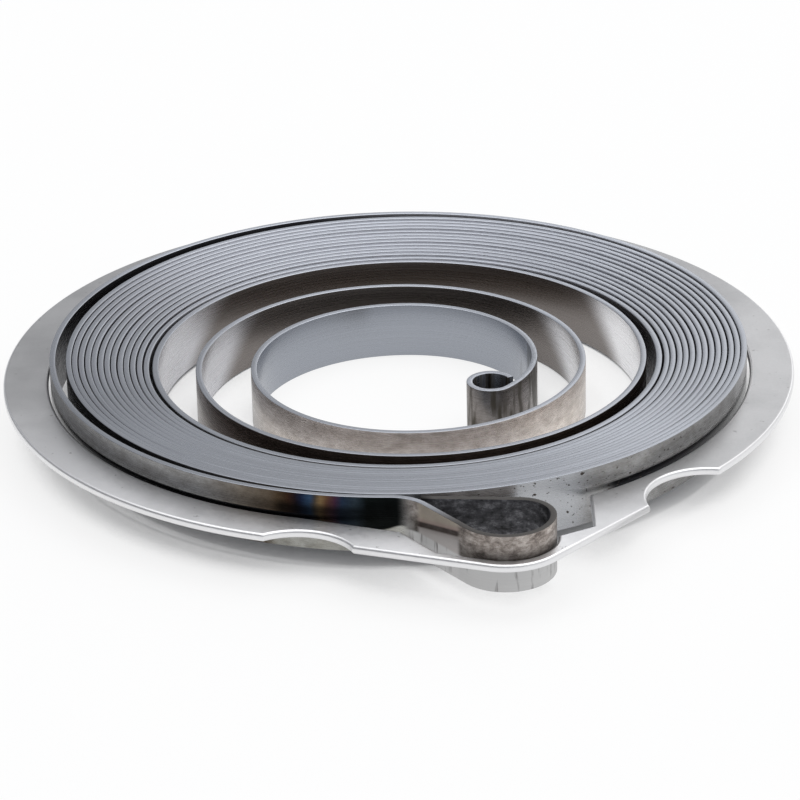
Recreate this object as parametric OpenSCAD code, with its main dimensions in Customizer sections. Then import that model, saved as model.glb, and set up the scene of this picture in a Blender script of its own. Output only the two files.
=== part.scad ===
// Recoil starter spring: a flat spiral of steel strip, wound counter-clockwise outward,
// held in the opening of a stamped sheet-metal plate.
// Millimetres. X to the right, Y to the back, Z up. The origin is on the axis of the plate's
// opening, in the plane that the innermost turn rests on.

/* [Strip] */
// Thickness of the spring strip
strip_t = 0.75; // [0.5:0.05:0.8]
// Width of the strip, which is the height of a turn
strip_w = 7.1; // [5:0.1:12]

/* [Winding] */
// Radius of the first quarter of the innermost turn
inner_r = 16.5; // [14:0.5:24]
// Growth of the radius at the back, left, front and right of the first open turn
first_growth = [2.3, 1.15, 1.45, 1.95]; // [1:0.05:4]
// Growth of the radius at the back, left, front and right of the second open turn
second_growth = [1.55, 1.95, 2.2, 1.05]; // [1:0.05:4]
// Growth of the radius at the back, left, front and right of the third open turn
third_growth = [1.15, 0.3, 0.15, 0.25]; // [0.1:0.05:2]
// Growth of the radius at the back, left, front and right of the first turn of the pack
start_growth = [0.45, 0.1, 0.3, 0.2]; // [0.1:0.05:1]
// Turns in the close pack
pack_turns = 13; // [6:1:18]
// Gap between neighbouring turns of the pack
turn_gap = 0.05; // [0.05:0.01:0.2]
// Growth that sets the last turn off from the pack on its left
last_growth = 0.7; // [0.2:0.1:1.5]
// Rise of the open turns above the innermost turn
open_rise = 0.6; // [0:0.1:2]
// Rise of the pack from its inner to its outer turn
pack_rise = 1.8; // [0:0.1:3]

/* [Inner eye] */
// Radius of the hole in the eye
eye_hole_r = 2.3; // [1.5:0.1:3]
// Degrees that the eye is curled through
eye_sweep = 295; // [275:5:300]
// Radius of the strip's run into the eye
approach_r = 14.7; // [12:0.1:16]
// Degrees of the run into the eye
approach_sweep = 41.5; // [30:0.5:50]

/* [Outer loop] */
// Angle on the last turn where the strip bends outward
bend_at = 268; // [262:1:270]
// Radius of the outward bend
bend_r = 5.5; // [3:0.1:7]
// Degrees of the outward bend
bend_sweep = 51; // [45:1:60]
// Length of the straight leg from the bend to the loop
leg_l = 8.1; // [6:0.1:12]
// Radius of the loop's round end
loop_r = 5.5; // [4.5:0.1:7]
// Radius of the fold that leads back to the pack
fold_r = 4; // [3:0.1:5]
// Degrees of the fold
fold_sweep = 85.5; // [80:0.5:88]
// Length of the tail between the fold and the end of the strip
tail_l = 11.5; // [5:0.5:12]

/* [Plate] */
// Thickness of the sheet
plate_t = 1; // [0.6:0.1:2]
// Depth of the plate's top face below the top of the last turn
plate_drop = 2.85; // [1:0.05:5]
// Width of the ring around the opening
ring_w = 5.4; // [4:0.1:10]
// Gap between the last turn and the opening
opening_gap = 0.5; // [0.15:0.05:0.8]
// Gap between the loop and the pocket in the lug
pocket_gap = 0.2; // [0.15:0.05:0.5]
// Width of the web of sheet in front of the pocket
lug_web = 1.4; // [0.8:0.1:3]
// Room in the pocket beside the leg
leg_room = 2.7; // [0.5:0.1:3]
// Angle on the opening where its edge leaves the circle on the way to the pocket
flare_at = 254; // [250:1:256]
// Heading of the edge from there to the pocket
flare_heading = 340; // [336:1:342]
// Width of the window beside the loop
window_w = 4.1; // [1:0.1:6]
// Rise of the window's front edge towards its outer corner
window_rise = 2.2; // [0:0.1:4]
// Radius of the two notches in the rim
notch_r = 7.5; // [4:0.1:9]
// Degrees from the lug's middle to the left and the right notch
notch_angle = [27, 28.8]; // [24:0.1:34]
// Width of the ring that is left behind the left and the right notch
notch_land = [3.3, 1.8]; // [1.5:0.1:4]

/* [Hidden] */
$fn = 180;

// Directions of the four quarters: right, back, left and front
QUARTERS = [[1, 0], [0, 1], [-1, 0], [0, -1]];
quarter_deg = 90;
per_turn = len(QUARTERS);

// Growth at every quarter, from the innermost turn to the front of the last turn
pitch = strip_t + turn_gap;
open_growth = concat(first_growth, second_growth, third_growth);
close_quarters = (pack_turns - 1) * per_turn;
close_growth = [for (i = [1:close_quarters]) pitch / per_turn + (i == close_quarters ? last_growth : 0)];
pack_growth = concat(start_growth, close_growth);
last_turn_growth = [0, 0];
growth = concat(open_growth, pack_growth, last_turn_growth);
open_quarters = len(open_growth);
pack_quarters = len(pack_growth);
last = len(growth);
dish = open_rise + pack_rise;

function direction(angle) = [cos(angle), sin(angle)];
function quarter_direction(i) = QUARTERS[i % per_turn];

// Each quarter is an arc. Where the radius grows, the centre steps back along the joint, so the
// strip stays smooth. The arcs of the last turn are centred on the origin.
function quarter_r(i) = i == 0 ? inner_r : quarter_r(i - 1) + growth[i - 1];
function quarter_c(i) = i == last ? [0, 0] : quarter_c(i + 1) + growth[i] * quarter_direction(i + 1);

// The innermost turn is level. The open turns and the pack climb a little at every quarter.
function open_share(i) = max(0, min(1, (i - per_turn + 1) / (open_quarters - per_turn)));
function pack_share(i) = max(0, min(1, (i - open_quarters) / pack_quarters));
function quarter_z(i) = open_rise * open_share(i) + pack_rise * pack_share(i);

last_r = quarter_r(last);
outer_r = last_r + strip_t / 2;

// Inner eye, curled on the inside of the run that leaves the innermost turn
eye_r = eye_hole_r + strip_t / 2;
approach_c = quarter_c(0) + [inner_r - approach_r, 0];
eye_c = approach_c + (approach_r - eye_r) * direction(-approach_sweep);

// Outer loop: bend, leg, round end, fold and tail
bend_c = (last_r + bend_r) * direction(bend_at);
bend_start = bend_at + 180 - bend_sweep;
leg_heading = bend_at + quarter_deg - bend_sweep;
leg_start = bend_c + bend_r * direction(bend_start);
leg_end = leg_start + leg_l * direction(leg_heading);
loop_c = leg_end + loop_r * direction(leg_heading + quarter_deg);
loop_start = leg_heading - quarter_deg;
loop_sweep = 360 - loop_start;
fold_c = loop_c + [loop_r - fold_r, 0];
tail_start = fold_c + fold_r * direction(fold_sweep);
tail_heading = fold_sweep + quarter_deg;

// Plate: a ring around the last turn and a lug around the loop
plate_top = dish + strip_w - plate_drop;
opening_r = outer_r + opening_gap;
rim_r = opening_r + ring_w;
pocket_r = loop_r + strip_t / 2 + pocket_gap;
lug_r = pocket_r + lug_web;
lug_angle = atan2(loop_c.y, loop_c.x);
lug_flank = acos((rim_r - lug_r) / norm(loop_c));

// The pocket's corners: its edge beside the leg meets the flare and the edge along the lug's web
web_normal = direction(lug_angle - lug_flank);
leg_normal = direction(leg_heading - quarter_deg);
leg_edge = leg_start + (strip_t / 2 + leg_room) * leg_normal;
corner_run = (pocket_r - (leg_edge - loop_c) * web_normal) / (direction(leg_heading) * web_normal);
pocket_corner = leg_edge + corner_run * direction(leg_heading);
flare_start = opening_r * direction(flare_at);
flare_run = (leg_edge - flare_start) * leg_normal / (direction(flare_heading) * leg_normal);
flare_corner = flare_start + flare_run * direction(flare_heading);
flare_foot = flare_start - (flare_start * direction(flare_heading)) * direction(flare_heading);
window_corner = loop_c + [pocket_r + window_w, window_rise];
through = 1;

// A link is a hair thinner and narrower than its neighbours, and runs a little way into them
seam = 0.02;
lap = 0.25;

// A stretch of strip bent around a centre
module bend(centre, radius, start, sweep, z, inset = 0) {
    translate([centre.x, centre.y, z])
    rotate(start)
    rotate_extrude(angle = sweep)
    translate([radius - strip_t / 2 + inset, inset])
    square([strip_t - 2 * inset, strip_w - 2 * inset]);
}

// A bent stretch that links its neighbours
module link(centre, radius, start, sweep, z) {
    lap_deg = lap / radius * 180 / PI;
    bend(centre, radius, start - lap_deg, sweep + 2 * lap_deg, z, seam);
}

// A straight stretch of strip
module run(from, heading, length, z, inset = 0) {
    translate([from.x, from.y, z])
    rotate(heading)
    translate([0, inset - strip_t / 2, inset])
    cube([length, strip_t - 2 * inset, strip_w - 2 * inset]);
}

module eye() {
    link(approach_c, approach_r, -approach_sweep, approach_sweep, quarter_z(0));
    bend(eye_c, eye_r, -approach_sweep - eye_sweep, eye_sweep, quarter_z(0));
}

module winding() {
    for (i = [0:last - 1])
        bend(quarter_c(i), quarter_r(i), i * quarter_deg, quarter_deg, quarter_z(i));
    bend([0, 0], last_r, last * quarter_deg, bend_at - last * quarter_deg % 360, dish);
}

module outer_loop() {
    link(bend_c, bend_r, bend_start, bend_sweep, dish);
    run(leg_start, leg_heading, leg_l, dish);
    link(loop_c, loop_r, loop_start, loop_sweep, dish);
    bend(fold_c, fold_r, 0, fold_sweep, dish);
    run(tail_start - lap * direction(tail_heading), tail_heading, tail_l + lap, dish, seam);
}

module spring() {
    color("slategray")
    union() {
        eye();
        winding();
        outer_loop();
    }
}

// Round rim, round lug and the straight flanks that touch both
module plate_blank() {
    cylinder(r = rim_r, h = plate_t);
    translate([loop_c.x, loop_c.y, 0])
    cylinder(r = lug_r, h = plate_t);
    linear_extrude(plate_t)
    polygon([
        rim_r * direction(lug_angle - lug_flank),
        loop_c + lug_r * direction(lug_angle - lug_flank),
        loop_c + lug_r * direction(lug_angle + lug_flank),
        rim_r * direction(lug_angle + lug_flank)
    ]);
}

// Pocket for the loop, its leg and the window beside it
module pocket() {
    translate([loop_c.x, loop_c.y, 0])
    cylinder(r = pocket_r, h = plate_t + 2 * through);
    linear_extrude(plate_t + 2 * through)
    polygon([
        [0, 0],
        flare_foot,
        flare_corner,
        pocket_corner,
        loop_c + pocket_r * web_normal,
        loop_c,
        loop_c + [pocket_r, 0],
        window_corner,
        [window_corner.x, 0]
    ]);
}

// Notch in the rim: 0 is to the left of the lug and 1 to its right
module notch(i) {
    side = 2 * i - 1;
    rotate(lug_angle + side * notch_angle[i])
    translate([opening_r + notch_land[i] + notch_r, 0, 0])
    cylinder(r = notch_r, h = plate_t + 2 * through);
}

module retainer_plate() {
    color("silver")
    translate([0, 0, plate_top - plate_t])
    difference() {
        plate_blank();
        translate([0, 0, -through]) {
            cylinder(r = opening_r, h = plate_t + 2 * through);
            pocket();
            for (i = [0, 1])
                notch(i);
        }
    }
}

spring();
retainer_plate();
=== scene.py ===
from math import acos, atan2, cos, degrees, hypot, pi, radians, sin, sqrt

import bmesh
import bpy
import numpy as np
from mathutils import Matrix, Vector


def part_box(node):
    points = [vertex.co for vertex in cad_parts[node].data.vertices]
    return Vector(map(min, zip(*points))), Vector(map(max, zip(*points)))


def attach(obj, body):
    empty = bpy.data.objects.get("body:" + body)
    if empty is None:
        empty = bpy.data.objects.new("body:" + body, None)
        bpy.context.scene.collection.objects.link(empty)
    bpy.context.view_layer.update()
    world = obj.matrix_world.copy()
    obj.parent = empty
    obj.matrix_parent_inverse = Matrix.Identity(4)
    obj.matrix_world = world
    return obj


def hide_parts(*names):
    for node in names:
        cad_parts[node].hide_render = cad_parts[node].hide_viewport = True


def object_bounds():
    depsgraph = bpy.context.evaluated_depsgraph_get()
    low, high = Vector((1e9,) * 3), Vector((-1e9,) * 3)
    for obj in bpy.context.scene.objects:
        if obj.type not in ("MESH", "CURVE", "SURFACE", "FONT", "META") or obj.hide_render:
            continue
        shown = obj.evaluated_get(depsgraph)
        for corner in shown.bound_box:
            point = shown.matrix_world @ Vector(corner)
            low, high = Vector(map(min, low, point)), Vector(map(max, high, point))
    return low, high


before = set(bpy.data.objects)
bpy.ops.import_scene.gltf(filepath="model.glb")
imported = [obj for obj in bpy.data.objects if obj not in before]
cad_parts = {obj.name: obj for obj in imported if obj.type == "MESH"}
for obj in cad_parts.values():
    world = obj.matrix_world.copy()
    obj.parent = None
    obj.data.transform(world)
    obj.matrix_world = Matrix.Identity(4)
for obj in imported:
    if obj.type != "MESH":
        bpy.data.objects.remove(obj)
cad_low, cad_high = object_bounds()

# Shapes are worked out in millimetres and angles in degrees, as in the part's source
MM = 0.001

# Strip and winding
STRIP_T = 0.75
STRIP_W = 7.1
STRIP_ROUND = 0.08
INNER_R = 16.5
OPEN_GROWTH = [2.3, 1.15, 1.45, 1.95, 1.55, 1.95, 2.2, 1.05, 1.15, 0.3, 0.15, 0.25]
START_GROWTH = [0.45, 0.1, 0.3, 0.2]
PACK_TURNS = 13
TURN_GAP = 0.05
LAST_GROWTH = 0.7
OPEN_RISE = 0.6
PACK_RISE = 1.8
QUARTER = 90

# The pack is drawn a little thinner than the strip and slightly uneven, so that its gaps show
PACK_THINNING = 0.09
BACK_THINNING = 0.15
PACK_SWAY = 0.02
SWAY_RATE = 0.58
PACK_LIFT = 0.03
LIFT_RATE = 0.41

# Inner eye
EYE_HOLE_R = 2.3
EYE_SWEEP = 295
APPROACH_R = 14.7
APPROACH_SWEEP = 41.5

# Outer loop
BEND_AT = 268
BEND_R = 5.5
BEND_SWEEP = 51
LEG_L = 8.1
LOOP_R = 5.5
FOLD_R = 4
FOLD_SWEEP = 85.5
TAIL_L = 11.5

# Plate
PLATE_ROUND = 0.35
RING_W = 5.4
OPENING_GAP = 0.5
SHOWN_GAP = 0.3
SHOWN_SHIFT = (0.05, -0.16)
POCKET_GAP = 0.2
LUG_WEB = 1.4
LEG_ROOM = 2.7
FLARE_AT = 254
FLARE_HEADING = 340
WINDOW_W = 4.1
WINDOW_RISE = 2.2
NOTCH_R = 7.5
NOTCH_ANGLE = {-1: 27, 1: 28.8}
NOTCH_LAND = {-1: 3.3, 1: 1.8}

# Camera: the photograph's view
CAMERA_ELEVATION = 24.864
CAMERA_ROLL = -1.248
CAMERA_DISTANCE = 500
CAMERA_TARGET = (0.103, -16.903, 9.5)
FOCAL_PX = 4106.6
IMAGE_PX = 800
SENSOR = 36

# Light: the side that the studio is lighter on
LIGHT_SIDE = (0.7, 0.35, 0.62)

# Finish: the side that painted light makes the plate brighter on, and how far the part shades the floor
PAINTED_LIGHT_SIDE = (-0.3, -0.95, 0)
COVER_REACH = 12 * MM

# Finish: stretches of the strip, measured from the start of the eye. A third number is a soft end.
EYE_GRIME = (20, 34)
COOL_END = (120, 160)
# Painted reflection: the inner face is painted bright over these stretches
SHEEN_STRETCHES = [(136, 148, 12), (292, 318, 14)]
OUTER_TONES = (0, 400)

# Finish: the middle and the reach of the painted dark brown reflections on the inner face, measured in the
# same way
DARK_REFLECTIONS = [(181, 26), (355, 32)]
PATCH_SOFT = 6

# Finish: stretches of the strip, measured from the start of the outward bend
CLEAN = (-272, -250, 4)
PITTED = (-262, -235, 20)
# Painted shadow along the plate's edge runs over this stretch
SHADOWED_RUN = (-243, -10, 3)
STANDS_OFF = (-120, -30, 25)
HEATED = (-23, 1)
LIT_START = (-15, -13)
BANDED = (-12.5, 0, 1.5)
LIT_RISE = (-1, 2)
TINT_END = (1, 3.5)
LOOP_START = (1.5, 4)
DARK_EDGE = (2, 12)
STRIPED = (4.4, 11.6)
LEG = (4.6, 11.2, 0.9)

# Finish: heights on the strip's faces, measured from its lower edge
LIT_HIGH = (3, 3.7)
GAP_SHADOW_HIGH = (3, 4.38, 0.12)
FLOOR_REFLECTION_HIGH = (3, 3.4)
FOOT_SHADE_HIGH = (3.5, 6.2)
STRIPE_HIGH = (4.4, 5.9)
BAND_HIGH = (5.2, 6.3)

# Finish: where the strip's two faces meet, as a share of half its thickness
FACE_SPLIT = 0.6


def direction(angle):
    return np.array([cos(radians(angle)), sin(radians(angle))])


def arc(centre, radius, start, sweep, steps):
    """Points and headings along an arc. A negative sweep runs clockwise."""
    angles = start + sweep * np.linspace(0, 1, steps + 1)
    points = [centre + radius * direction(a) for a in angles]
    headings = [a + (QUARTER if sweep > 0 else -QUARTER) for a in angles]
    return points, headings


def line(start, heading, length, steps):
    points = [start + length * share * direction(heading) for share in np.linspace(0, 1, steps + 1)]
    return points, [heading] * (steps + 1)


# Winding: quarter arcs, each with its centre stepped back so that the strip stays smooth
PER_TURN = 4
PITCH = STRIP_T + TURN_GAP
PACK_GROWTH = START_GROWTH + [PITCH / PER_TURN] * ((PACK_TURNS - 1) * PER_TURN)
PACK_GROWTH[-1] += LAST_GROWTH
GROWTH = OPEN_GROWTH + PACK_GROWTH + [0, 0]
PACK_FIRST = len(OPEN_GROWTH)
LAST = len(GROWTH)
DISH = OPEN_RISE + PACK_RISE

radii = [INNER_R + sum(GROWTH[:i]) for i in range(LAST + 1)]
centres = [np.zeros(2)]
for i in reversed(range(LAST)):
    centres.insert(0, centres[0] + GROWTH[i] * direction((i + 1) * QUARTER))
last_r = radii[LAST]
outer_r = last_r + STRIP_T / 2

# Inner eye
eye_r = EYE_HOLE_R + STRIP_T / 2
approach_c = centres[0] + np.array([INNER_R - APPROACH_R, 0])
eye_c = approach_c + (APPROACH_R - eye_r) * direction(-APPROACH_SWEEP)

# Outer loop
bend_c = (last_r + BEND_R) * direction(BEND_AT)
leg_heading = BEND_AT + QUARTER - BEND_SWEEP
leg_start = bend_c + BEND_R * direction(BEND_AT + 180 - BEND_SWEEP)
leg_end = leg_start + LEG_L * direction(leg_heading)
loop_c = leg_end + LOOP_R * direction(leg_heading + QUARTER)
loop_start = leg_heading - QUARTER
fold_c = loop_c + np.array([LOOP_R - FOLD_R, 0])
tail_start = fold_c + FOLD_R * direction(FOLD_SWEEP)

# Plate
opening_r = outer_r + OPENING_GAP
shown_opening_r = outer_r + SHOWN_GAP
rim_r = opening_r + RING_W
pocket_r = LOOP_R + STRIP_T / 2 + POCKET_GAP
lug_r = pocket_r + LUG_WEB
lug_angle = degrees(atan2(loop_c[1], loop_c[0]))
lug_flank = degrees(acos((rim_r - lug_r) / hypot(*loop_c)))


def strip_path():
    """Stations along the strip from the eye to the tail: place, heading, quarter and run."""
    stretches = [arc(eye_c, eye_r, -APPROACH_SWEEP - EYE_SWEEP, EYE_SWEEP, steps=90)]
    stretches.append(arc(approach_c, APPROACH_R, -APPROACH_SWEEP, APPROACH_SWEEP, steps=30))
    quarters = [-1, -1]
    for i in range(LAST):
        stretches.append(arc(centres[i], radii[i], i * QUARTER, QUARTER, steps=56))
        quarters.append(i)
    last_start = LAST * QUARTER
    stretches.append(arc(np.zeros(2), last_r, last_start, BEND_AT - last_start % 360, steps=60))
    bend = len(stretches)
    stretches.append(arc(bend_c, BEND_R, BEND_AT + 180, -BEND_SWEEP, steps=24))
    stretches.append(line(leg_start, leg_heading, LEG_L, steps=8))
    stretches.append(arc(loop_c, LOOP_R, loop_start, 360 - loop_start, steps=60))
    stretches.append(arc(fold_c, FOLD_R, 0, FOLD_SWEEP, steps=36))
    stretches.append(line(tail_start, FOLD_SWEEP + QUARTER, TAIL_L, steps=8))
    places, headings, turned = [], [], []
    bend_station = 0
    for i, (points, turns) in enumerate(stretches):
        skip = 1 if i else 0
        if i == bend:
            bend_station = len(places) - 1
        steps = len(points) - 1
        for j in range(skip, steps + 1):
            places.append(points[j])
            headings.append(turns[j])
            turned.append(quarters[i] + j / steps if i < len(quarters) else LAST)
    places = np.array(places)
    run = np.concatenate([[0], np.cumsum(np.hypot(*np.diff(places, axis=0).T))])
    return places, np.radians(headings), np.array(turned), run, run - run[bend_station]


def level(turned):
    """Height of the strip's lower edge: level at first, then a climb over the open turns and the pack."""
    middle = turned - 0.5
    opened = np.clip((middle - PER_TURN + 1) / (PACK_FIRST - PER_TURN), 0, 1)
    packed = np.clip((middle - PACK_FIRST) / len(PACK_GROWTH), 0, 1)
    return OPEN_RISE * opened + PACK_RISE * packed


def in_pack(turned):
    """1 in the close pack, 0 on the open turns and on the last turn."""
    return np.clip(np.minimum(turned - PACK_FIRST, PACK_FIRST + len(PACK_GROWTH) - turned), 0, 1)


def strip_section():
    """Rounded section of the strip: offset to the outside, height, and 1 on the two narrow edges."""
    corners = [(1, 0, 270), (1, 1, 0), (-1, 1, 90), (-1, 0, 180)]
    section = []
    steps = 3
    for side, high, start in corners:
        x = side * (STRIP_T / 2 - STRIP_ROUND)
        z = STRIP_W - STRIP_ROUND if high else STRIP_ROUND
        for j in range(steps + 1):
            turn = direction(start + QUARTER * j / steps)
            edge = abs(turn[1])
            section.append((x + STRIP_ROUND * turn[0], z + STRIP_ROUND * turn[1], edge))
    return np.array(section)


def store(mesh, name, values):
    attribute = mesh.attributes.new(name, "FLOAT", "POINT")
    attribute.data.foreach_set("value", np.asarray(values, np.float32))


def strip_mesh():
    """The section swept along the path, with attributes that say where on the strip a point is."""
    places, headings, turned, run, hook_run = strip_path()
    section = strip_section()
    stations, ring = len(places), len(section)
    close = in_pack(turned)
    sideways = np.cos(turned * pi / 2) ** 2
    loose = close * (BACK_THINNING + (1 - BACK_THINNING) * sideways)
    sway = PACK_SWAY * loose * np.sin(SWAY_RATE * turned)
    lift = PACK_LIFT * close * np.sin(LIFT_RATE * turned)
    thinness = 1 - PACK_THINNING / STRIP_T * loose
    offsets = sway[:, None] + thinness[:, None] * section[None, :, 0]
    outward = np.stack([np.sin(headings), -np.cos(headings)], axis=1)
    plan = places[:, None, :] + outward[:, None, :] * offsets[:, :, None]
    heights = (level(turned) + lift)[:, None] + section[None, :, 1]
    vertices = np.concatenate([plan, heights[:, :, None]], axis=2).reshape(-1, 3) * MM
    faces = []
    for i in range(stations - 1):
        for j in range(ring):
            k = (j + 1) % ring
            faces.append((i * ring + j, (i + 1) * ring + j, (i + 1) * ring + k, i * ring + k))
    faces.append(tuple(range(ring)))
    faces.append(tuple(reversed(range((stations - 1) * ring, stations * ring))))
    mesh = bpy.data.meshes.new("spring_strip")
    mesh.from_pydata(vertices.tolist(), [], faces)
    store(mesh, "strip_run", np.repeat(run, ring))
    store(mesh, "hook_run", np.repeat(hook_run, ring))
    store(mesh, "strip_high", np.tile(section[:, 1], stations))
    store(mesh, "strip_side", np.tile(section[:, 0] / STRIP_T * 2, stations))
    store(mesh, "strip_edge", np.tile(section[:, 2], stations))
    mesh.polygons.foreach_set("use_smooth", [True] * len(mesh.polygons))
    mesh.polygons[-1].use_smooth = False
    mesh.polygons[-2].use_smooth = False
    mesh.update()
    return mesh


def plate_outlines():
    """The plate's rim with its lug and notches, and its opening with the pocket."""
    notches = {}
    for side in (-1, 1):
        reach = opening_r + NOTCH_LAND[side] + NOTCH_R
        centre = reach * direction(lug_angle + side * NOTCH_ANGLE[side])
        spread = (rim_r ** 2 + reach ** 2 - NOTCH_R ** 2) / (2 * rim_r * reach)
        far_angle = lug_angle + side * (NOTCH_ANGLE[side] + degrees(acos(spread)))
        normal = direction(lug_angle + side * lug_flank)
        towards_lug = direction(lug_angle + side * lug_flank - side * QUARTER)
        off = centre @ normal - rim_r
        near = centre - off * normal + sqrt(NOTCH_R ** 2 - off ** 2) * towards_lug
        notches[side] = (centre, far_angle, near)

    def notch(side, start, end):
        centre = notches[side][0]
        first = degrees(atan2(*(start - centre)[::-1]))
        sweep = (first - degrees(atan2(*(end - centre)[::-1]))) % 360
        return arc(centre, NOTCH_R, first, -sweep, steps=48)[0]

    right_far, left_far = notches[1][1], notches[-1][1] + 360
    rim = arc(np.zeros(2), rim_r, right_far, left_far - right_far, steps=600)[0]
    rim += notch(-1, rim[-1], notches[-1][2])
    rim += arc(loop_c, lug_r, lug_angle - lug_flank, 2 * lug_flank, steps=60)[0]
    rim += notch(1, notches[1][2], rim[0])[:-1]

    web_normal = direction(lug_angle - lug_flank)
    leg_way, leg_normal = direction(leg_heading), direction(leg_heading - QUARTER)
    leg_edge = leg_start + (STRIP_T / 2 + LEG_ROOM) * leg_normal
    corner = leg_edge + (pocket_r - (leg_edge - loop_c) @ web_normal) / (leg_way @ web_normal) * leg_way
    flare_way = direction(FLARE_HEADING)
    shift = np.array(SHOWN_SHIFT)
    flare_start = shift + shown_opening_r * direction(FLARE_AT)
    flare_corner = flare_start + (leg_edge - flare_start) @ leg_normal / (flare_way @ leg_normal) * flare_way
    window = loop_c + np.array([pocket_r + WINDOW_W, WINDOW_RISE])
    first = -degrees(acos((window - shift)[0] / shown_opening_r))
    opening = arc(shift, shown_opening_r, first, FLARE_AT - first, steps=540)[0]
    opening += [flare_corner, corner]
    opening += arc(loop_c, pocket_r, lug_angle - lug_flank, lug_flank - lug_angle, steps=60)[0]
    opening.append(window)
    return rim, opening


def plate_mesh():
    """A flat sheet between the two outlines, with rounded edges."""
    low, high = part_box("retainer_plate")
    thickness = high.z - low.z
    curve = bpy.data.curves.new("plate_outline", "CURVE")
    curve.dimensions = "2D"
    curve.fill_mode = "BOTH"
    curve.bevel_depth = PLATE_ROUND * MM
    curve.bevel_resolution = 3
    curve.offset = -PLATE_ROUND * MM
    curve.extrude = thickness / 2 - PLATE_ROUND * MM
    for outline in plate_outlines():
        spline = curve.splines.new("POLY")
        spline.points.add(len(outline) - 1)
        for point, place in zip(spline.points, outline):
            point.co = (place[0] * MM, place[1] * MM, 0, 1)
        spline.use_cyclic_u = True
    outline_object = bpy.data.objects.new("plate_outline", curve)
    bpy.context.scene.collection.objects.link(outline_object)
    bpy.context.view_layer.update()
    evaluated = outline_object.evaluated_get(bpy.context.evaluated_depsgraph_get())
    mesh = bpy.data.meshes.new_from_object(evaluated)
    bpy.data.objects.remove(outline_object)
    shape = bmesh.new()
    shape.from_mesh(mesh)
    bmesh.ops.remove_doubles(shape, verts=shape.verts, dist=MM * 1e-4)
    bmesh.ops.translate(shape, verts=shape.verts, vec=(0, 0, (low.z + high.z) / 2))
    bmesh.ops.recalc_face_normals(shape, faces=shape.faces)
    for face in shape.faces:
        face.smooth = abs(face.normal.z) < 0.999
    shape.to_mesh(mesh)
    shape.free()
    mesh.name = "retainer_sheet"
    return mesh


class Nodes:
    """Adds nodes to a tree. What feeds a socket is a number, a colour or another node's output."""

    def __init__(self, tree):
        self.tree = tree

    def put(self, socket, value):
        if isinstance(value, bpy.types.NodeSocket):
            self.tree.links.new(value, socket)
        else:
            socket.default_value = value

    def add(self, kind, inputs, output=0, **settings):
        made = self.tree.nodes.new("ShaderNode" + kind)
        for name, value in settings.items():
            setattr(made, name, value)
        for key, value in inputs.items():
            self.put(made.inputs[key], value)
        return made.outputs[output]

    def attribute(self, name):
        return self.add("Attribute", {}, "Fac", attribute_name=name)

    def math(self, operation, a, b=0.0):
        return self.add("Math", {0: a, 1: b}, operation=operation)

    def times(self, a, b):
        return self.math("MULTIPLY", a, b)

    def scaled(self, x, y, z, scales):
        parts = [self.times(value, scale) for value, scale in zip((x, y, z), scales)]
        return self.add("CombineXYZ", dict(enumerate(parts)))

    def noise(self, vector, scale=1.0, detail=3.0, roughness=0.5):
        inputs = {"Vector": vector, "Scale": scale, "Detail": detail, "Roughness": roughness}
        return self.add("TexNoise", inputs, "Fac")

    def range(self, value, low, high, to_low=0.0, to_high=1.0, kind="SMOOTHSTEP"):
        inputs = {"Value": value, "From Min": low, "From Max": high, "To Min": to_low, "To Max": to_high}
        return self.add("MapRange", inputs, "Result", interpolation_type=kind)

    def zone(self, value, low, high, soft):
        """1 between low and high, with soft ends."""
        return self.times(self.range(value, low - soft, low), self.range(value, high, high + soft, 1.0, 0.0))

    def weighted(self, shade, weight):
        return self.add("VectorMath", {0: shade, "Scale": weight}, operation="SCALE")

    def mix(self, share, a, b, blend="MIX"):
        inputs = {"Factor": share, 6: a, 7: b}
        return self.add("Mix", inputs, 2, data_type="RGBA", blend_type=blend)

    def ramp(self, value, stops):
        made = self.add("ValToRGB", {"Fac": value}, "Color")
        elements = made.node.color_ramp.elements
        while len(elements) < len(stops):
            elements.new(1)
        for element, (place, shade) in zip(elements, stops):
            element.position = place
            element.color = shade
        return made

    def bump(self, height, strength, distance, under=None):
        inputs = {"Height": height, "Strength": strength, "Distance": distance}
        if under is not None:
            inputs["Normal"] = under
        return self.add("Bump", inputs)


class Finish(Nodes):
    """A metal finish: one principled shader and the textures that feed it."""

    def __init__(self, name):
        self.material = bpy.data.materials.new(name)
        self.material.use_nodes = True
        super().__init__(self.material.node_tree)
        self.shader = self.tree.nodes["Principled BSDF"]
        self.shader.inputs["Metallic"].default_value = 1

    def brushed(self, amount):
        """Grain around the Z axis, which spreads reflections across it."""
        grain = self.add("Tangent", {}, direction_type="RADIAL", axis="Z")
        self.put(self.shader.inputs["Tangent"], grain)
        self.shader.inputs["Anisotropic"].default_value = amount
        self.shader.inputs["Anisotropic Rotation"].default_value = 0.25

    def done(self, base, rough, normal):
        self.put(self.shader.inputs["Base Color"], base)
        self.put(self.shader.inputs["Roughness"], rough)
        self.put(self.shader.inputs["Normal"], normal)
        return self.material


def colour(red, green, blue):
    return (red, green, blue, 1)


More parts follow.
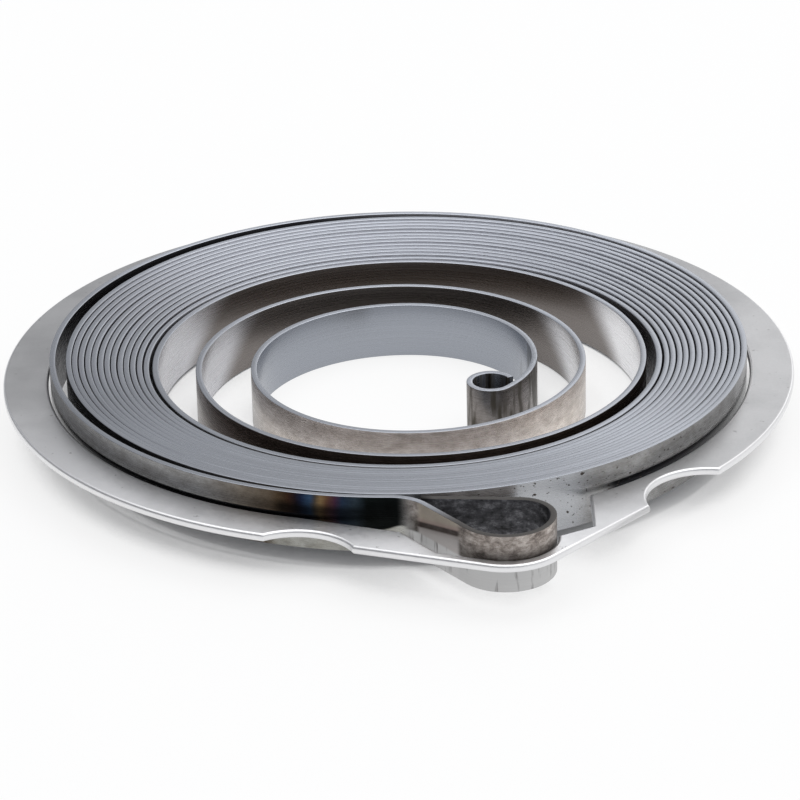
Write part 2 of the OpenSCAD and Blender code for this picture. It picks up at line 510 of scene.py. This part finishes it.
class StripFinish(Finish):
    """A finish laid out along the strip, by the attributes that its mesh carries."""

    def __init__(self, name):
        super().__init__(name)
        self.run = self.attribute("strip_run")
        self.hook = self.attribute("hook_run")
        self.high = self.attribute("strip_high")
        self.side = self.attribute("strip_side")
        self.edge = self.attribute("strip_edge")
        self.outside = self.range(self.side, -FACE_SPLIT, FACE_SPLIT)
        self.inside = self.range(self.side, -FACE_SPLIT, FACE_SPLIT, 1.0, 0.0)
        self.streaks = self.along(0.03, 5)
        self.blotches = self.along(0.45, 0.7, 10, 0.78)

    def along(self, run_scale, high_scale, detail=4, roughness=0.5):
        """Noise with its own scale along the strip and across it."""
        place = self.scaled(self.run, self.high, self.side, (run_scale, high_scale, 2))
        return self.noise(place, 1.0, detail, roughness)

    def patch(self, middle, reach):
        """1 around a place on the strip, and further along it at the lower edge."""
        off = self.math("ABSOLUTE", self.math("SUBTRACT", self.run, middle))
        return self.range(self.math("ADD", off, self.high), reach, reach + PATCH_SOFT, 1.0, 0.0)

    def inner_face(self):
        """Cool grey, with painted reflections: bright stretches at the right and dark brown ones at the back
        of the open turns.
        """
        tone = self.mix(self.along(0.1, 0.3), colour(0.54, 0.54, 0.57), colour(0.64, 0.64, 0.67))
        tone = self.mix(self.range(self.run, *COOL_END, 1.0, 0.0), tone, colour(0.34, 0.36, 0.40))
        # Painted reflection: bright stretches on the inner face at the right
        painted_sheen = self.math("ADD", *[self.zone(self.run, *stretch) for stretch in SHEEN_STRETCHES])
        tone = self.mix(painted_sheen, tone, colour(0.88, 0.88, 0.90))
        # Painted reflection: dark brown patches at the back of the open turns
        dark_reflection = self.math("ADD", *[self.patch(*place) for place in DARK_REFLECTIONS])
        return self.mix(dark_reflection, tone, colour(0.22, 0.20, 0.19))

    def outer_face(self):
        """Dark and blotchy, with painted light on the first turn's front."""
        # Painted light: the light beige stops from 0.25 to 0.33 lighten the first turn's front
        tone = self.ramp(self.range(self.run, *OUTER_TONES, kind="LINEAR"), [
            (0.2, colour(0.27, 0.25, 0.24)),
            (0.25, colour(0.86, 0.79, 0.73)),
            (0.33, colour(0.86, 0.79, 0.73)),
            (0.38, colour(0.24, 0.18, 0.14)),
            (0.62, colour(0.09, 0.07, 0.06)),
            (0.75, colour(0.12, 0.09, 0.07)),
            (0.88, colour(0.33, 0.33, 0.33)),
        ])
        return self.mix(1.0, tone, self.ramp(self.blotches, [
            (0.35, colour(0.6, 0.58, 0.56)),
            (0.6, colour(1.0, 1.0, 1.0)),
        ]), "MULTIPLY")

    def narrow_edge(self):
        """Blue-grey, with painted light that makes it lighter to the back and painted shade that makes it
        darker at both sides, and dark on the loop.
        """
        tone = self.mix(self.streaks, colour(0.35, 0.37, 0.41), colour(0.45, 0.47, 0.52))
        # Painted light and shade: the tone is scaled up towards the back and down at both sides
        back = self.add("SeparateXYZ", {0: self.add("TexCoord", {}, "Object")}, "Y")
        weight = self.range(back, -35 * MM, 40 * MM, 0.88, 1.4, "LINEAR")
        aside = self.math("ABSOLUTE", back.node.outputs["X"])
        aside = self.math("SUBTRACT", aside, self.math("ABSOLUTE", back))
        weight = self.times(weight, self.range(aside, 0.0, 25 * MM, 1.0, 0.72))
        tone = self.weighted(tone, weight)
        return self.mix(self.range(self.hook, *DARK_EDGE, 0.0, 0.95), tone, colour(0.06, 0.055, 0.05))

    def heat_tint(self):
        """Temper colours before the bend: red-brown, blue, straw, purple, then black scale, with painted
        shade low on the wall near the bend and painted light below the plate's level.
        """
        wobble = self.times(self.along(0.5, 0.5), 1.2)
        tint = self.ramp(self.range(self.math("ADD", self.hook, wobble), *HEATED, kind="LINEAR"), [
            (0.0, colour(1.0, 1.0, 1.0)),
            (0.25, colour(0.62, 0.54, 0.45)),
            (0.44, colour(0.26, 0.18, 0.11)),
            (0.49, colour(0.16, 0.08, 0.05)),
            (0.53, colour(0.05, 0.035, 0.05)),
            (0.56, colour(0.04, 0.06, 0.14)),
            (0.6, colour(0.10, 0.20, 0.38)),
            (0.625, colour(0.20, 0.17, 0.14)),
            (0.65, colour(0.60, 0.40, 0.20)),
            (0.68, colour(0.30, 0.15, 0.09)),
            (0.725, colour(0.17, 0.07, 0.14)),
            (0.76, colour(0.06, 0.10, 0.19)),
            (0.82, colour(0.10, 0.15, 0.20)),
            (0.88, colour(0.02, 0.027, 0.027)),
            (1.0, colour(0.018, 0.022, 0.022)),
        ])
        # Painted highlight: over this stretch the wall below BAND_HIGH is darkened towards black, so that
        # only its upper band keeps its bright temper colours
        banded = self.times(self.zone(self.hook, *BANDED), self.range(self.high, *BAND_HIGH, 0.75, 0.0))
        tint = self.mix(banded, tint, colour(0.02, 0.022, 0.022))
        # Painted light: the wall below the plate's level, from LIT_START on, is lightened
        lit_to = self.range(self.hook, *LIT_RISE, *LIT_HIGH)
        lit = self.range(self.math("SUBTRACT", self.high, lit_to), -0.3, 0.0, 0.8, 0.0)
        lit = self.times(lit, self.range(self.hook, *LIT_START))
        return self.mix(lit, tint, colour(1.5, 1.5, 1.4))

    def paint_gap_shade(self, wall):
        """Painted shadow along the plate's edge, and painted shade inside where the last turn stands off the
        pack.
        """
        # Painted shadow: a near-black line on the outer face where it meets the plate's edge
        gap_shadow = self.times(self.zone(self.high, *GAP_SHADOW_HIGH), self.zone(self.hook, *SHADOWED_RUN))
        wall = self.mix(self.times(gap_shadow, self.outside), wall, colour(0.012, 0.012, 0.014))
        # Painted shade on the inner face where the last turn stands off the pack
        shaded = self.times(self.zone(self.hook, *STANDS_OFF), self.inside)
        return self.mix(shaded, wall, colour(0.10, 0.10, 0.11))

    def loop_outside(self):
        """Grey-brown and mottled, with painted shade at the foot and painted light towards the top, a
        painted reflection on the leg with a painted dark shadow stripe along it, and a painted reflection of
        the floor, light and streaked, below the plate.
        """
        tone = self.ramp(self.blotches, [
            (0.33, colour(0.06, 0.05, 0.045)),
            (0.47, colour(0.24, 0.21, 0.19)),
            (0.62, colour(0.50, 0.46, 0.43)),
        ])
        # Painted shade and light: the loop is darker at its foot and lighter towards the top
        tone = self.weighted(tone, self.range(self.high, *FOOT_SHADE_HIGH, 0.3, 1.3))
        # Painted reflection on the leg, lighter above and below a painted dark shadow stripe along it
        stripe = self.math("SUBTRACT", self.high, self.range(self.hook, *STRIPED, *STRIPE_HIGH, "LINEAR"))
        leg_reflection = self.ramp(self.range(stripe, -1.0, 1.0, kind="LINEAR"), [
            (0.0, colour(0.56, 0.53, 0.52)),
            (0.24, colour(0.44, 0.40, 0.39)),
            (0.36, colour(0.05, 0.035, 0.03)),
            (0.6, colour(0.05, 0.035, 0.035)),
            (0.72, colour(0.48, 0.37, 0.33)),
            (1.0, colour(0.56, 0.50, 0.42)),
        ])
        tone = self.mix(self.times(self.zone(self.hook, *LEG), 0.85), tone, leg_reflection)
        # Painted reflection: below the plate's level the loop is painted light, as a reflection of the
        # floor, with dark streaks
        drips = self.range(self.along(1.3, 0.15), 0.3, 0.45)
        reflection_and_drips = self.mix(drips, colour(0.2, 0.19, 0.19), colour(0.62, 0.62, 0.62))
        return self.mix(self.times(self.range(self.high, *FLOOR_REFLECTION_HIGH, 1.0, 0.0), 0.9), tone, reflection_and_drips)

    def loop_inside(self):
        """Dark and grimy."""
        return self.ramp(self.blotches, [
            (0.36, colour(0.025, 0.025, 0.025)),
            (0.52, colour(0.13, 0.13, 0.14)),
            (0.66, colour(0.40, 0.40, 0.42)),
        ])


def spring_finish():
    """Rolled strip with temper colours, a grimy eye and loop, and pits."""
    finish = StripFinish("spring_steel")
    finish.brushed(0.7)
    wall = finish.mix(finish.outside, finish.inner_face(), finish.outer_face())
    tinted = finish.range(finish.hook, *TINT_END, 1.0, 0.0)
    wall = finish.mix(tinted, wall, finish.heat_tint(), "MULTIPLY")
    wall = finish.paint_gap_shade(wall)
    loop = finish.range(finish.hook, *LOOP_START)
    wall = finish.mix(loop, wall, finish.mix(finish.outside, finish.loop_inside(), finish.loop_outside()))

    # Eye: dark streaks down the curl and brown grime on the run into it
    grime = finish.range(finish.along(0.9, 0.12), 0.42, 0.6)
    grime = finish.times(grime, finish.range(finish.run, *EYE_GRIME, 1.0, 0.0))
    wall = finish.mix(grime, wall, colour(0.09, 0.08, 0.065))

    # Cleaner steel and pits in the outer face of the last full turn, to the right of the loop
    clean = finish.times(finish.zone(finish.hook, *CLEAN), finish.outside)
    wall = finish.mix(clean, wall, colour(0.44, 0.45, 0.47))
    pits = finish.range(finish.along(1.6, 2.0, 2), 0.64, 0.69)
    pits = finish.times(pits, finish.zone(finish.hook, *PITTED))
    wall = finish.mix(pits, wall, colour(0.06, 0.05, 0.045))

    steel = finish.mix(finish.range(finish.edge, 0.3, 0.8), wall, finish.narrow_edge())
    rough = finish.range(finish.streaks, 0.3, 0.7, 0.24, 0.3)
    rough = finish.math("ADD", rough, finish.times(finish.math("MAXIMUM", loop, grime), 0.2))
    relief = finish.bump(finish.streaks, 0.05, 0.02 * MM)
    relief = finish.bump(finish.times(finish.blotches, loop), 0.5, 0.05 * MM, relief)
    relief = finish.bump(pits, -0.6, 0.05 * MM, relief)
    return finish.done(steel, rough, relief)


def plate_finish():
    """Satin sheet with clouds and specks, with painted light that makes it brighter on one side and a
    painted highlight on its edges.
    """
    finish = Finish("plate_steel")
    place = finish.add("TexCoord", {}, "Object")
    grain = finish.noise(place, scale=3500, detail=4)
    clouds = finish.noise(place, scale=70, detail=5, roughness=0.6)
    specks = finish.range(finish.noise(place, scale=900, detail=2), 0.68, 0.74)
    steel = finish.mix(finish.range(clouds, 0.3, 0.7), colour(0.47, 0.47, 0.48), colour(0.60, 0.60, 0.61))
    # Painted light: the sheet is scaled darker away from one side and brighter towards it
    painted_light = finish.add("VectorMath", {0: place, 1: PAINTED_LIGHT_SIDE}, "Value", operation="DOT_PRODUCT")
    painted_light = finish.range(painted_light, 18 * MM, 46 * MM, 0.79, 1.5)
    steel = finish.weighted(steel, painted_light)
    steel = finish.mix(finish.times(specks, 0.5), steel, colour(0.2, 0.19, 0.19))
    # Painted highlight: the rounded edges and the sides of the sheet are painted light
    upward = finish.add("SeparateXYZ", {0: finish.add("NewGeometry", {}, "Normal")}, "Z")
    edge = finish.range(upward, 0.9, 0.99, 1.0, 0.0)
    steel = finish.mix(edge, steel, colour(0.82, 0.82, 0.83))
    rough = finish.range(grain, 0.3, 0.7, 0.33, 0.41)
    return finish.done(steel, rough, finish.bump(grain, 0.2, 0.02 * MM))


def floor_finish():
    """White paper that partly shows its own light, but not where the part covers it."""
    material = bpy.data.materials.new("floor_white")
    material.use_nodes = True
    nodes = Nodes(material.node_tree)
    output = nodes.tree.nodes["Material Output"]
    matt = nodes.add("BsdfDiffuse", {"Color": colour(0.88, 0.88, 0.88)})
    glow = nodes.add("Emission", {"Strength": 1.0})
    seen = nodes.add("LightPath", {}, "Is Camera Ray")
    mirrored = seen.node.outputs["Is Glossy Ray"]
    clear = nodes.add("AmbientOcclusion", {"Distance": COVER_REACH}, "AO", samples=8)
    seen = nodes.times(seen, nodes.range(clear, 0.15, 0.4, 0.05, 0.8))
    mirrored = nodes.times(mirrored, nodes.range(clear, 0.2, 0.4, 0.0, 0.75))
    share = nodes.math("ADD", seen, mirrored)
    nodes.put(output.inputs["Surface"], nodes.add("MixShader", {0: share, 1: matt, 2: glow}))
    return material


def add_piece(name, mesh, node, material):
    """A finished piece in place of a CAD node."""
    piece = bpy.data.objects.new(name, mesh)
    bpy.context.scene.collection.objects.link(piece)
    mesh.materials.clear()
    mesh.materials.append(material)
    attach(piece, "root")
    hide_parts(node)


def add_floor():
    reach = 3
    corners = [(-reach, -reach), (reach, -reach), (reach, reach), (-reach, reach)]
    mesh = bpy.data.meshes.new("floor")
    mesh.from_pydata([(x, y, cad_low.z) for x, y in corners], [], [(0, 1, 2, 3)])
    mesh.materials.append(floor_finish())
    floor = bpy.data.objects.new("floor", mesh)
    bpy.context.scene.collection.objects.link(floor)


def add_world():
    """A grey studio that is lighter above and to the back right."""
    world = bpy.data.worlds.new("studio")
    world.use_nodes = True
    bpy.context.scene.world = world
    nodes = Nodes(world.node_tree)
    way = nodes.add("TexCoord", {}, "Generated")
    light_side = nodes.add("VectorMath", {0: way, 1: LIGHT_SIDE}, "Value", operation="DOT_PRODUCT")
    shade = nodes.ramp(nodes.range(light_side, -1.0, 1.0, kind="LINEAR"), [
        (0.2, colour(0.22, 0.22, 0.23)),
        (0.6, colour(0.40, 0.41, 0.43)),
        (1.0, colour(0.90, 0.90, 0.90)),
    ])
    nodes.put(nodes.tree.nodes["Background"].inputs["Color"], shade)


def add_softbox(name, place, size, watts):
    """A round lamp aimed at the part."""
    lamp = bpy.data.lights.new(name, "AREA")
    lamp.shape = "DISK"
    lamp.size = size
    lamp.energy = watts
    softbox = bpy.data.objects.new(name, lamp)
    softbox.location = place
    softbox.rotation_mode = "QUATERNION"
    softbox.rotation_quaternion = (-Vector(place)).to_track_quat("-Z", "Y")
    bpy.context.scene.collection.objects.link(softbox)


def add_camera():
    """The photograph's view."""
    elevation, roll = radians(CAMERA_ELEVATION), radians(CAMERA_ROLL)
    right = Vector((1, 0, 0))
    up = Vector((0, sin(elevation), cos(elevation)))
    back = Vector((0, -cos(elevation), sin(elevation)))
    turned_right = right * cos(roll) + up * sin(roll)
    turned_up = up * cos(roll) - right * sin(roll)
    axes = Matrix((turned_right, turned_up, back)).transposed()
    place = (Vector(CAMERA_TARGET) + back * CAMERA_DISTANCE) * MM
    lens = bpy.data.cameras.new("camera")
    lens.sensor_width = SENSOR
    lens.lens = FOCAL_PX / IMAGE_PX * SENSOR
    lens.clip_start = 0.01
    lens.clip_end = 20
    camera = bpy.data.objects.new("camera", lens)
    camera.matrix_world = Matrix.Translation(place) @ axes.to_4x4()
    bpy.context.scene.collection.objects.link(camera)
    bpy.context.scene.camera = camera


add_piece("spring_strip", strip_mesh(), "spring", spring_finish())
add_piece("retainer_sheet", plate_mesh(), "retainer_plate", plate_finish())
add_floor()
add_world()
add_softbox("back_right", (0.34, 0.84, 0.42), size=0.6, watts=0.7)
add_softbox("top", (0.05, 0.0, 0.9), size=1.6, watts=7)
add_camera()
bpy.context.scene.view_settings.view_transform = "Standard"
